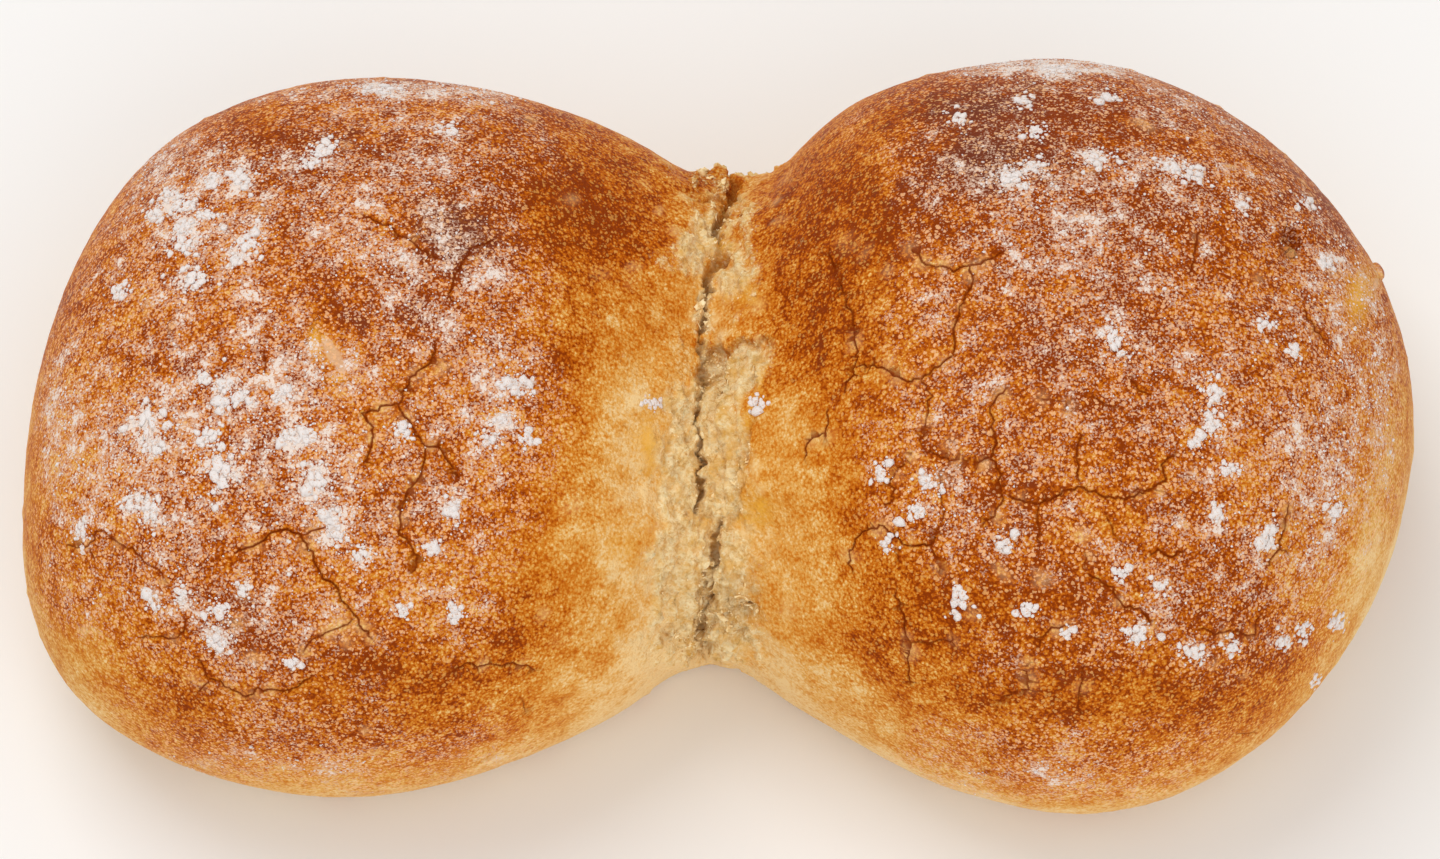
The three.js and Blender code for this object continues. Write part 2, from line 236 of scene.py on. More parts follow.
# Scars where the crust came away, and large pale bubbles: middle, half width and height in pixels, and amount.
SCARS = (
    (327, 343, 7, 9, 0.8), (334, 355, 9, 10, 1.0), (342, 368, 7, 9, 0.8), (1376, 284, 4, 10, 0.8), (1290, 247, 5, 12, 0.6),
)
BUBBLES = (
    (622, 500, 9, 10, 0.9), (609, 572, 5, 9, 0.9), (573, 505, 7, 7, 0.8), (690, 575, 7, 7, 0.6), (662, 212, 4, 4, 0.8),
    (635, 265, 4, 4, 0.8), (634, 281, 4, 4, 0.8), (790, 184, 4, 4, 0.8), (776, 226, 4, 4, 0.8), (784, 218, 3, 3, 0.7),
    (640, 182, 4, 4, 0.6), (600, 275, 5, 4, 0.6), (570, 200, 6, 5, 0.8), (765, 552, 6, 7, 0.7), (789, 612, 4, 4, 0.8),
    (847, 243, 9, 5, 0.6), (866, 255, 5, 4, 0.5), (560, 640, 5, 5, 0.5), (585, 690, 6, 5, 0.4), (980, 735, 5, 5, 0.5),
)

# Dimples and bumps of the crust: middle, half width and height in pixels, and depth in mm (a bump is negative).
DIMPLES = (
    (333, 354, 11, 20, 0.4), (318, 345, 4, 22, -0.2), (1294, 250, 9, 17, 1.2), (1303, 228, 12, 7, -0.6),
    (1290, 226, 8, 6, -0.35), (742, 362, 20, 14, 0.6), (710, 368, 8, 20, 1.0), (741, 422, 7, 7, 0.7),
    (742, 457, 6, 14, 0.6), (733, 443, 4, 4, 0.6), (748, 606, 9, 8, 0.9), (733, 608, 4, 3, 0.7),
    (717, 566, 5, 6, 0.4), (723, 256, 7, 6, 0.6),
    (735, 420, 14, 24, -0.5), (748, 404, 9, 8, -0.3), (683, 470, 12, 50, -0.35), (690, 380, 8, 24, -0.3),
    (722, 620, 10, 10, -0.4), (676, 615, 16, 12, -0.35),
    (488, 747, 8, 3.5, 0.8), (505, 745, 4, 3, 0.5), (984, 754, 5, 4, 0.8), (194, 763, 4, 3, 0.5),
    (713, 214, 6, 8, -0.6), (712, 178, 22, 8, -0.3), (722, 243, 5, 4, -0.4), (728, 590, 12, 6, -0.5),
    (726, 395, 10, 8, -0.4), (694, 602, 8, 14, -0.4), (728, 545, 10, 24, -0.3), (676, 545, 26, 20, -0.3),
    (622, 500, 9, 10, -0.25), (609, 572, 5, 9, -0.25), (573, 505, 7, 7, -0.2), (690, 575, 8, 8, -0.25),
)

# Edges that stand over lower ground: the drop in mm, how far it reaches in pixels, and the edge's line, which has
# the lower ground below it when it is drawn to the right, and to its left when it is drawn downwards.
STEPS = (
    (1.0, 18, ((711, 349), (722, 344), (733, 339), (765, 337))),
    (1.0, 12, ((723, 353), (723, 370), (720, 387))),
    (0.7, 9, ((757, 430), (747, 445), (739, 472))),
    (0.5, 8, ((700, 197), (714, 193), (733, 193))),
    (0.4, 7, ((685, 184), (695, 186), (699, 194))),
    (0.5, 9, ((664, 629), (678, 639), (697, 646))),
    (0.5, 8, ((757, 370), (751, 377))),
    (0.5, 8, ((744, 488), (742, 508))),
)

# The cracks and the torn seam. A crack's wander and the seam's raggedness are in pixels. Nearer to a crack than
# one of its edges, the crust is divided as finely as that.
CRACK = {
    "wander": 1.3, "half_width": 0.13 * MM, "depth": 0.22 * MM, "reach": 1.2 * MM, "clean": 0.5 * MM,
    "edges": (0.6 * MM, 0.32 * MM, 0.18 * MM),
}
SEAM = {
    "filled": 3.4 * MM, "near": -22 * MM, "far": 33 * MM, "reach": 12 * MM, "hidden": 5 * MM, "ragged": 10,
}

# One pixel of the photograph at the roll's middle.
PIXEL = VIEW["width"] / PHOTO[0]


def linear(hex_colour):
    """An sRGB hex colour such as "c08040" as linear RGBA."""
    channels = [int(hex_colour[i : i + 2], 16) / 255 for i in (0, 2, 4)]
    return [c / 12.92 if c <= 0.04045 else ((c + 0.055) / 1.055) ** 2.4 for c in channels] + [1.0]


def deselect():
    """Leaves edit mode and selects nothing."""
    if bpy.context.object and bpy.context.object.mode != "OBJECT":
        bpy.ops.object.mode_set(mode="OBJECT")
    bpy.ops.object.select_all(action="DESELECT")


def activate(piece):
    """Makes a piece the only selected one."""
    deselect()
    bpy.context.view_layer.objects.active = piece
    piece.select_set(True)


def points_of(mesh):
    """A mesh's vertices and their normals, as arrays."""
    places, normals = np.empty(len(mesh.vertices) * 3), np.empty(len(mesh.vertices) * 3)
    mesh.vertices.foreach_get("co", places)
    mesh.vertices.foreach_get("normal", normals)
    return places.reshape(-1, 3), normals.reshape(-1, 3)


def edges_of(mesh):
    """The two vertices of every edge."""
    pairs = np.empty(len(mesh.edges) * 2, int)
    mesh.edges.foreach_get("vertices", pairs)
    return pairs.reshape(-1, 2)


def smoothstep(low, high, value):
    """0 below low, 1 above high, and an even curve between."""
    t = np.clip((value - low) / (high - low), 0, 1)
    return t * t * (3 - 2 * t)


def field(places, size, offset=0.0, octaves=2):
    """Smooth noise of about -1 to 1 at each place, with lumps of the given size or sizes along x, y and z."""
    return np.array([noise.fractal(p, 1.0, 2.0, octaves) for p in places / size + offset])


class Surface:
    """A skin on which places in the photograph are looked up."""

    def __init__(self, mesh):
        self.tree = BVHTree.FromPolygons([v.co for v in mesh.vertices], [p.vertices for p in mesh.polygons])
        sine, cosine = math.sin(VIEW["elevation"]), math.cos(VIEW["elevation"])
        self.up = Vector((0, sine, cosine))
        self.toward = Vector((0, -cosine, sine))
        self.eye = Vector(VIEW["target"]) + self.toward * VIEW["distance"]

    def at(self, px, py):
        """The place and normal that the photograph shows at a pixel, or None beside the roll."""
        across = (px - PHOTO[0] / 2) / PHOTO[0] * VIEW["width"]
        upward = (PHOTO[1] / 2 - py) / PHOTO[0] * VIEW["width"]
        aim = Vector(VIEW["target"]) + Vector((across, 0, 0)) + self.up * upward
        place, normal, _, _ = self.tree.ray_cast(self.eye, (aim - self.eye).normalized())
        return None if place is None else (place, normal)

    def pixels(self, places):
        """The pixel of the photograph that each place falls on."""
        offset = places - np.array(VIEW["target"])
        depth = VIEW["distance"] - offset @ np.array(self.toward)
        scale = VIEW["distance"] / depth * PHOTO[0] / VIEW["width"]
        across = PHOTO[0] / 2 + offset[:, 0] * scale
        downward = PHOTO[1] / 2 - offset @ np.array(self.up) * scale
        return np.stack([across, downward], axis=1)


def painted(spots, pixels, facing):
    """The sum of soft spots, each given by its middle, half width and height in pixels and its amount."""
    total = np.zeros(len(facing))
    for px, py, wide, high, amount in spots:
        total += amount * np.exp(-(((pixels[:, 0] - px) / wide) ** 2) - ((pixels[:, 1] - py) / high) ** 2)
    return total * facing


def below_edges(pixels, facing):
    """How much lower each place lies beside a standing edge, in mm, and how near it is to the edge's foot."""
    total, foot = np.zeros(len(facing)), np.zeros(len(facing))
    for drop, reach, line in STEPS:
        nearest = np.full(len(facing), np.inf)
        side = np.zeros(len(facing))
        for start, end in zip(line, line[1:]):
            run = np.subtract(end, start)
            offset = pixels - start
            along = np.clip(offset @ run / (run @ run), 0, 1)
            away = np.linalg.norm(offset - along[:, None] * run, axis=1)
            closer = away < nearest
            nearest[closer] = away[closer]
            square = (run[0] * offset[:, 1] - run[1] * offset[:, 0]) / np.linalg.norm(run)
            side[closer] = (square / np.maximum(away, 1e-6))[closer]
        signed = nearest * side
        total += drop * smoothstep(0, 3, signed) * np.exp(-((nearest / reach) ** 2))
        # Near the foot the colour is darkened as a painted shadow.
        foot = np.maximum(foot, 0.6 * drop * np.exp(-(((signed - 2) / 1.6) ** 2)) * (nearest < 9))
    return total * facing, foot * facing


def walk(line):
    """Points less than a pixel apart along a line of corners, and how far along it each is."""
    corners = np.array(line, float)
    run = np.concatenate([[0], np.cumsum(np.hypot(*np.diff(corners, axis=0).T))])
    t = np.linspace(0, run[-1], int(run[-1] * 1.5) + 1)
    return np.stack([np.interp(t, run, corners[:, i]) for i in (0, 1)], axis=1), t


def crack_samples(surface, rng):
    """Points along every crack, close together, with how open the crack is at each."""
    samples = []
    for openness, line in CRACKS:
        points, t = walk(line)
        knots = np.arange(0, t[-1] + 5, 5.0)
        for i in (0, 1):
            points[:, i] += np.interp(t, knots, rng.normal(0, CRACK["wander"], len(knots)))
        taper = np.clip(np.minimum(t, t[-1] - t) / 9 + 0.35, 0, 1)
        gape = openness * taper * np.interp(t, knots, rng.uniform(0.6, 1.15, len(knots)))
        for (px, py), share in zip(points, gape):
            hit = surface.at(px, py)
            if hit:
                samples.append((hit[0], share))
    return samples


def search_tree(places):
    """A tree that finds the nearest of some places."""
    tree = kdtree.KDTree(len(places))
    for i, place in enumerate(places):
        tree.insert(place, i)
    tree.balance()
    return tree


def seam_line(surface):
    """The crevice in arrays of y, x, half width and depth, with y rising."""
    line = []
    for px, py, width, depth in CREVICE:
        place, _ = surface.at(px, py)
        line.append((place.y, place.x, width * MM, depth * MM))
    return np.array(sorted(line)).T


def from_seam(places, line):
    """How far each place is to the right of the seam, along x."""
    return places[:, 0] - np.interp(places[:, 1], line[0], line[1])


def select_vertices(mesh, chosen):
    """Selects the chosen vertices and nothing else."""
    mesh.polygons.foreach_set("select", np.zeros(len(mesh.polygons), bool))
    mesh.edges.foreach_set("select", np.zeros(len(mesh.edges), bool))
    mesh.vertices.foreach_set("select", chosen)


def refine(mesh, longest, rounds):
    """Halves every edge that is longer than the length that longest() allows at its middle."""
    for _ in range(rounds):
        places, _ = points_of(mesh)
        pairs = edges_of(mesh)
        ends = places[pairs]
        lengths = np.linalg.norm(ends[:, 0] - ends[:, 1], axis=1)
        chosen = lengths > longest(ends.mean(axis=1))
        if not chosen.any():
            return
        corners = np.zeros(len(places), bool)
        corners[pairs[chosen].ravel()] = True
        select_vertices(mesh, corners)
        mesh.edges.foreach_set("select", chosen)
        bpy.ops.object.mode_set(mode="EDIT")
        bpy.ops.mesh.select_mode(type="EDGE")
        bpy.ops.mesh.subdivide(number_cuts=1, ngon=False, quadcorner="INNERVERT")
        bpy.ops.object.mode_set(mode="OBJECT")


def bare_skin(name, line):
    """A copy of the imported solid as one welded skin, its crevice closed by smoothing, and rounded once."""
    deselect()
    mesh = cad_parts[ROLL].data.copy()
    mesh.name = name
    mesh.materials.clear()
    piece = bpy.data.objects.new(name, mesh)
    bpy.context.collection.objects.link(piece)
    activate(piece)
    bpy.ops.object.mode_set(mode="EDIT")
    bpy.ops.mesh.select_all(action="SELECT")
    bpy.ops.mesh.remove_doubles(threshold=0.001 * MM)
    bpy.ops.mesh.tris_convert_to_quads(face_threshold=math.radians(40), shape_threshold=math.radians(60))
    bpy.ops.object.mode_set(mode="OBJECT")
    places, normals = points_of(mesh)
    along = (places[:, 1] > SEAM["near"]) & (places[:, 1] < SEAM["far"]) & (places[:, 2] > 18 * MM)
    select_vertices(mesh, (np.abs(from_seam(places, line)) < SEAM["filled"]) & along)
    bpy.ops.object.mode_set(mode="EDIT")
    bpy.ops.mesh.vertices_smooth(factor=0.5, repeat=50)
    bpy.ops.object.mode_set(mode="OBJECT")
    rounding = piece.modifiers.new("rounding", "SUBSURF")
    rounding.levels = rounding.render_levels = 1
    bpy.ops.object.modifier_apply(modifier=rounding.name)
    return piece


def store(mesh, name, values):
    """Keeps one number for each vertex, for the material to read."""
    layer = mesh.attributes.new(name, "FLOAT", "POINT")
    layer.data.foreach_set("value", np.asarray(values, np.float32))


def stored(mesh, name):
    """The numbers kept under a name."""
    values = np.empty(len(mesh.vertices), np.float32)
    mesh.attributes[name].data.foreach_get("value", values)
    return values


def node_maker(material):
    """Clears a material and returns a function that adds a node to it with its settings and links."""
    material.use_nodes = True
    tree = material.node_tree
    tree.nodes.clear()

    def add(kind, settings=None, **inputs):
        made = tree.nodes.new("ShaderNode" + kind)
        for name, value in (settings or {}).items():
            setattr(made, name, value)
        for name, value in inputs.items():
            socket = made.inputs[int(name[1:])] if name[0] == "i" and name[1:].isdigit() else made.inputs[name]
            if isinstance(value, bpy.types.NodeSocket):
                tree.links.new(value, socket)
            else:
                socket.default_value = value
        return made

    return add


def ramp(add, factor, stops):
    """A colour ramp through stops of (position, hex colour)."""
    made = add("ValToRGB", Fac=factor)
    elements = made.color_ramp.elements
    while len(elements) < len(stops):
        elements.new(0.5)
    for element, (position, colour) in zip(elements, stops):
        element.position = position
        element.color = linear(colour)
    return made.outputs["Color"]


def mix(add, factor, under, over):
    """The colour over laid on the colour under, where a hex string is a plain colour."""
    colours = {name: linear(value) if isinstance(value, str) else value for name, value in (("i6", under), ("i7", over))}
    return add("Mix", {"data_type": "RGBA"}, i0=factor, **colours).outputs[2]


def maths(add, kind, a, b):
    """A Math node's result."""
    return add("Math", {"operation": kind}, i0=a, i1=b).outputs["Value"]


def weighted(add, *terms):
    """The sum of sockets times their weights, each less its middle: (socket, middle, weight)."""
    total = 0.0
    for socket, middle, weight in terms:
        term = add("Math", {"operation": "MULTIPLY_ADD"}, i0=socket, i1=weight, i2=-middle * weight).outputs["Value"]
        total = maths(add, "ADD", total, term)
    return total


def step(add, value, low, high, to_low=0.0, to_high=1.0):
    """A smooth step from to_low at low to to_high at high."""
    made = add("MapRange", {"interpolation_type": "SMOOTHSTEP"}, Value=value, i1=low, i2=high, i3=to_low, i4=to_high)
    return made.outputs["Result"]


def crust_material(settings):
    """Lean wheat crust, browned in a dry oven over proved, floured dough.

    Its brown runs from golden, where the rolls shaded each other, to dark orange on the crowns, and is mottled
    because the skin is blistered. Flour that baked on is dull lilac white and lies in grains and clots. Torn
    crumb is pale and matt. Under its dust the crust has a slight satin sheen.
    """
    material = bpy.data.materials.new("floured_wheat_crust")
    add = node_maker(material)
    place = add("TexCoord").outputs["Object"]
    mm = add("Mapping", Vector=place, Scale=(1000, 1000, 1000)).outputs["Vector"]

    def read(name):
        return add("Attribute", {"attribute_name": name}).outputs["Fac"]

    def grain(size, detail=2.0, roughness=0.5, distortion=0.0, offset=(0, 0, 0)):
        moved = add("Mapping", Vector=mm, Location=offset).outputs["Vector"] if any(offset) else mm
        made = add("TexNoise", Vector=moved, Scale=1 / size, Detail=detail, Roughness=roughness, Distortion=distortion)
        return made.outputs["Fac"]

    warp = add("TexNoise", Vector=mm, Scale=1.6, Detail=1).outputs["Color"]
    bent = add("VectorMath", {"operation": "MULTIPLY_ADD"}, i0=warp, i1=(0.5,) * 3, i2=mm).outputs["Vector"]

    def cells(size, offset=(0, 0, 0)):
        moved = add("Mapping", Vector=bent, Location=offset).outputs["Vector"] if any(offset) else bent
        made = add("TexVoronoi", Vector=moved, Scale=1 / size)
        return made.outputs["Distance"], made.outputs["Color"]

    # Brown tone: broad patches, mottling of about 2 mm, and tiny bubbles painted lighter at their tops and darker at
    # their feet as painted light and shade.
    patches = grain(9, 3, 0.55)
    mottle = grain(2.2, 5, 0.66, 0.3)
    specks = grain(0.42, 2, 0.6, 0, (7, 3, 1))
    bubble, chance = cells(0.42)
    torn, browning = read("torn"), read("browning")
    fine = weighted(add, (mottle, 0.5, 1.3), (specks, 0.5, 1.3), (bubble, 0.4, 0.5))
    uneven = maths(add, "MULTIPLY", fine, step(add, browning, 0.05, 0.7, 0.5, 1.25))
    tone = weighted(add, (browning, 0, 1), (patches, 0.5, 0.7), (uneven, 0, 1))
    brown = ramp(add, tone, (
        (0.0, settings.pale), (0.2, settings.golden), (0.4, settings.amber), (0.6, settings.brown),
        (0.8, settings.deep), (1.0, settings.dark),
    ))
    scorch = step(add, weighted(add, (read("scorch"), 0, 1), (mottle, 0.5, 1.5)), 0.1, 0.9)
    brown = mix(add, maths(add, "MULTIPLY", scorch, 0.75), brown, settings.scorched)
    brown = mix(add, read("gold"), brown, settings.gold)
    brown = mix(add, maths(add, "MULTIPLY", read("blister"), 0.4), brown, settings.pale)

    # Torn crumb, with darker pores as painted shade and golden tips lightened as a painted highlight, and the scars
    # where only a flake of crust came away.
    pores = grain(1.0, 6, 0.75, 0.6, (2, 9, 4))
    crumb = ramp(add, pores, ((0.34, settings.crumb_shade), (0.46, settings.crumb), (0.6, settings.crumb_highlight)))
    tan = weighted(add, (read("gold"), 0, 0.7), (step(add, mottle, 0.46, 0.64), 0, 0.55))
    crumb = mix(add, maths(add, "MINIMUM", tan, 0.8), crumb, settings.gold)
    edge = step(add, weighted(add, (torn, 0, 1), (mottle, 0.5, 1.8), (specks, 0.5, 2.0)), 0.15, 0.85)
    bread = mix(add, maths(add, "MULTIPLY", edge, step(add, torn, 0.05, 0.25)), brown, crumb)
    bread = mix(add, maths(add, "MULTIPLY", read("scar"), 0.85), bread, settings.scar)

    # Painted glints: bubble tops all over the crust painted light where they would catch the light, whitest where
    # there is a little flour on them.
    flour = read("flour")
    painted_spark = step(add, weighted(add, (bubble, 0.2, -1), (chance, 0.5, 1.3)), 0, 0.1)
    whiteness = step(add, flour, 0, 0.25)
    painted_glint = mix(add, whiteness, settings.golden, settings.painted_glint)
    bread = mix(add, maths(add, "MULTIPLY", painted_spark, step(add, flour, 0, 0.25, 0.45, 0.75)), bread, painted_glint)

    # Flour as a film: fine dust that thins out in drifts.
    drift = grain(3.2, 6, 0.68, 0.2, (1, 6, 2))
    dust = grain(0.3, 1, 0.5, 0, (3, 8, 5))
    film = step(add, weighted(add, (flour, 0.52, 1.5), (drift, 0.5, 3.0), (dust, 0.5, 3.6)), -0.15, 0.35)
    film = maths(add, "MULTIPLY", film, step(add, flour, 0.02, 0.2, 0, 0.6))
    bread = mix(add, film, bread, settings.flour_film)

    # Thicker flour: grains that run together where more of it lies, and most of all round a clot.
    grit, luck = cells(0.36, (5, 1, 8))
    clot = read("clot")
    load = weighted(add, (flour, 0.5, 1.3), (drift, 0.5, 3.8), (luck, 0.5, 0.6), (clot, 0, 0.45))
    dusty = step(add, maths(add, "ADD", flour, clot), 0.02, 0.15)
    grains = maths(add, "MULTIPLY", step(add, maths(add, "SUBTRACT", load, grit), -0.25, 0.0), dusty)
    powder = mix(add, step(add, load, 0.05, 0.7), settings.flour_film, settings.flour)
    bread = mix(add, maths(add, "MULTIPLY", grains, 0.88), bread, powder)

    # The dark lines of the cracks and the crevice lie over everything: their brown deepened by painted shade.
    bread = mix(add, maths(add, "MULTIPLY", read("depth"), 0.65), bread, settings.crevice)
    bread = mix(add, maths(add, "MULTIPLY", read("crack"), 0.92), bread, settings.crack)

    height = weighted(add, (mottle, 0.5, 0.8), (specks, 0.5, 0.7), (bubble, 0.4, -0.5))
    height = maths(add, "ADD", height, maths(add, "MULTIPLY", pores, maths(add, "MULTIPLY", torn, 1.7)))
    bump = add("Bump", Height=height, Strength=0.9, Distance=0.2 * MM).outputs["Normal"]
    rough = step(add, maths(add, "ADD", grains, torn), 0, 1, 0.42, 0.85)
    shader = add("BsdfPrincipled", **{
        "Base Color": bread, "Roughness": rough, "Normal": bump, "IOR": 1.45, "Specular IOR Level": 0.03,
    })
    add("OutputMaterial", Surface=shader.outputs["BSDF"])
    return material


def flour_material(settings):
    """Wheat flour that clotted on moist dough and dried: off-white, quite matt and a little uneven in colour."""
    material = bpy.data.materials.new("dried_wheat_flour")
    add = node_maker(material)
    place = add("TexCoord").outputs["Object"]
    clots = add("TexNoise", Vector=place, Scale=1 / (0.4 * MM), Detail=4, Roughness=0.7).outputs["Fac"]
    colour = ramp(add, clots, ((0.37, settings.flour_film), (0.46, settings.caked)))
    bump = add("Bump", Height=clots, Strength=0.9, Distance=0.2 * MM).outputs["Normal"]
    shader = add("BsdfPrincipled", **{
        "Base Color": colour, "Roughness": 0.95, "Normal": bump, "Specular IOR Level": 0.1,
    })
    add("OutputMaterial", Surface=shader.outputs["BSDF"])
    return material


def crumb_material(settings):
    """Torn wheat crumb: pale cream, matt, tan in its pores as painted shade and pale at its tips as a painted
    highlight.
    """
    material = bpy.data.materials.new("torn_wheat_crumb")
    add = node_maker(material)
    place = add("TexCoord").outputs["Object"]
    pores = add("TexNoise", Vector=place, Scale=1 / (0.8 * MM), Detail=4).outputs["Fac"]
    colour = ramp(add, pores, ((0.35, settings.crumb_shade), (0.47, settings.crumb), (0.6, settings.crumb_highlight)))
    shader = add("BsdfPrincipled", **{"Base Color": colour, "Roughness": 0.8, "Specular IOR Level": 0.2})
    add("OutputMaterial", Surface=shader.outputs["BSDF"])
    return material


def colour_setting(name, description, default):
    """A colour that a user can change."""
    return bpy.props.StringProperty(name=name, description=description + ", sRGB hex", default=default)


class CrustSettings(bpy.types.PropertyGroup):
    """Fineness, relief and colours of the crust."""

    fine: bpy.props.FloatProperty(
        name="Fineness", description="Longest edge on the upper crust", default=1.8 * MM, subtype="DISTANCE",
        unit="LENGTH")
    blister: bpy.props.FloatProperty(
        name="Blister height", description="Height of the highest blister", default=0.25 * MM, subtype="DISTANCE",
        unit="LENGTH")
    blisters: bpy.props.IntProperty(name="Blisters", description="How many blisters the crust has", default=300, min=0)
    seed: bpy.props.IntProperty(name="Seed", description="Start of the random draws", default=7)
    pale: colour_setting("Pale", "Least browned crust", "f0cd92")
    golden: colour_setting("Golden", "Golden crust", "e3a956")
    amber: colour_setting("Amber", "Amber crust", "d4852a")
    brown: colour_setting("Brown", "Brown crust", "c66a12")
    deep: colour_setting("Deep brown", "Well browned crust", "ae4f06")
    dark: colour_setting("Dark brown", "Darkest crust", "8a3603")
    scorched: colour_setting("Scorched", "Scorched crust", "6b3524")
    gold: colour_setting("Gold", "Yellow crust", "e6a83a")
    scar: colour_setting("Scar", "Skin under a lost flake", "dcae84")
    # Painted glints: the colour of the light specks painted on bubble tops.
    painted_glint: colour_setting("Specks", "Specks that catch the light", "f2b884")
    crumb: colour_setting("Crumb", "Torn crumb", "f1cf92")
    # Crumb colours: pores in painted shade and tips in a painted highlight.
    crumb_highlight: colour_setting("Light crumb", "Tips of the crumb", "ffe9b8")
    crumb_shade: colour_setting("Shaded crumb", "Pores of the crumb", "ca9856")
    # Crevice and crack colours: their own darker brown, deepened by painted shade.
    crevice: colour_setting("Crevice", "Bottom of the crevice", "8a5526")
    crack: colour_setting("Crack", "Bottom of a crack", "7c2c00")
    caked: colour_setting("Caked flour", "Flour that dried in flakes", "f0e7e2")
    flour: colour_setting("Flour", "Thick flour", "f0e2d6")
    flour_film: colour_setting("Thin flour", "Flour as a film", "e0b89c")


class FlourSettings(bpy.types.PropertyGroup):
    """Amounts and sizes of the loose flour."""

    grains: bpy.props.IntProperty(name="Grains", description="How many single grains lie on the crust", default=8500, min=0)
    grain: bpy.props.FloatProperty(
        name="Grain", description="Radius of a common grain", default=0.13 * MM, subtype="DISTANCE", unit="LENGTH")
    lumps: bpy.props.IntProperty(name="Lumps", description="How many bits lie round each clot", default=20, min=1)
    lump: bpy.props.FloatProperty(
        name="Lump", description="Radius of a common bit round a clot", default=0.27 * MM, subtype="DISTANCE",
        unit="LENGTH")
    thickness: bpy.props.FloatProperty(
        name="Thickness", description="Thickness of a clot", default=0.24 * MM, subtype="DISTANCE", unit="LENGTH")
    seed: bpy.props.IntProperty(name="Seed", description="Start of the random draws", default=21)


class CrumbSettings(bpy.types.PropertyGroup):
    """Amounts and sizes of the torn flakes and crumbs along the seam."""

    flakes: bpy.props.IntProperty(name="Flakes", description="How many torn flakes stand along the seam", default=170, min=0)
    flake: bpy.props.FloatProperty(
        name="Flake", description="Half length of a common flake", default=0.42 * MM, subtype="DISTANCE", unit="LENGTH")
    crumbs: bpy.props.IntProperty(name="Crumbs", description="How many crumbs lie in the seam", default=420, min=0)
    crumb: bpy.props.FloatProperty(
        name="Crumb", description="Radius of a common crumb", default=0.15 * MM, subtype="DISTANCE", unit="LENGTH")
    seed: bpy.props.IntProperty(name="Seed", description="Start of the random draws", default=5)


class StageSettings(bpy.types.PropertyGroup):
    """The floor, lights and backdrop."""

    floor: bpy.props.StringProperty(name="Floor", description="Colour of the floor, sRGB hex", default="f4f3f1")
    key: bpy.props.FloatProperty(name="Key light", description="Power of the main light in watts", default=4.7, min=0)
    fill: bpy.props.FloatProperty(name="Fill light", description="Power of the fill light in watts", default=4.0, min=0)
    sky: bpy.props.FloatProperty(name="Sky", description="Strength of the even light from all round", default=0.68, min=0)


def blister_field(places, normals, rng, count):
    """How strongly each vertex belongs to one of many scattered low blisters."""
    strength = np.zeros(len(places))
    crown = np.flatnonzero(normals[:, 2] > -0.2)
    for centre in places[rng.choice(crown, count, replace=False)]:
        radius = rng.uniform(0.8, 1.7) * MM
        away = np.linalg.norm(places - centre, axis=1)
        near = away < radius
        dome = rng.uniform(0.4, 1) * (1 - (away[near] / radius) ** 2) ** 2
        strength[near] = np.maximum(strength[near], dome)
    return strength


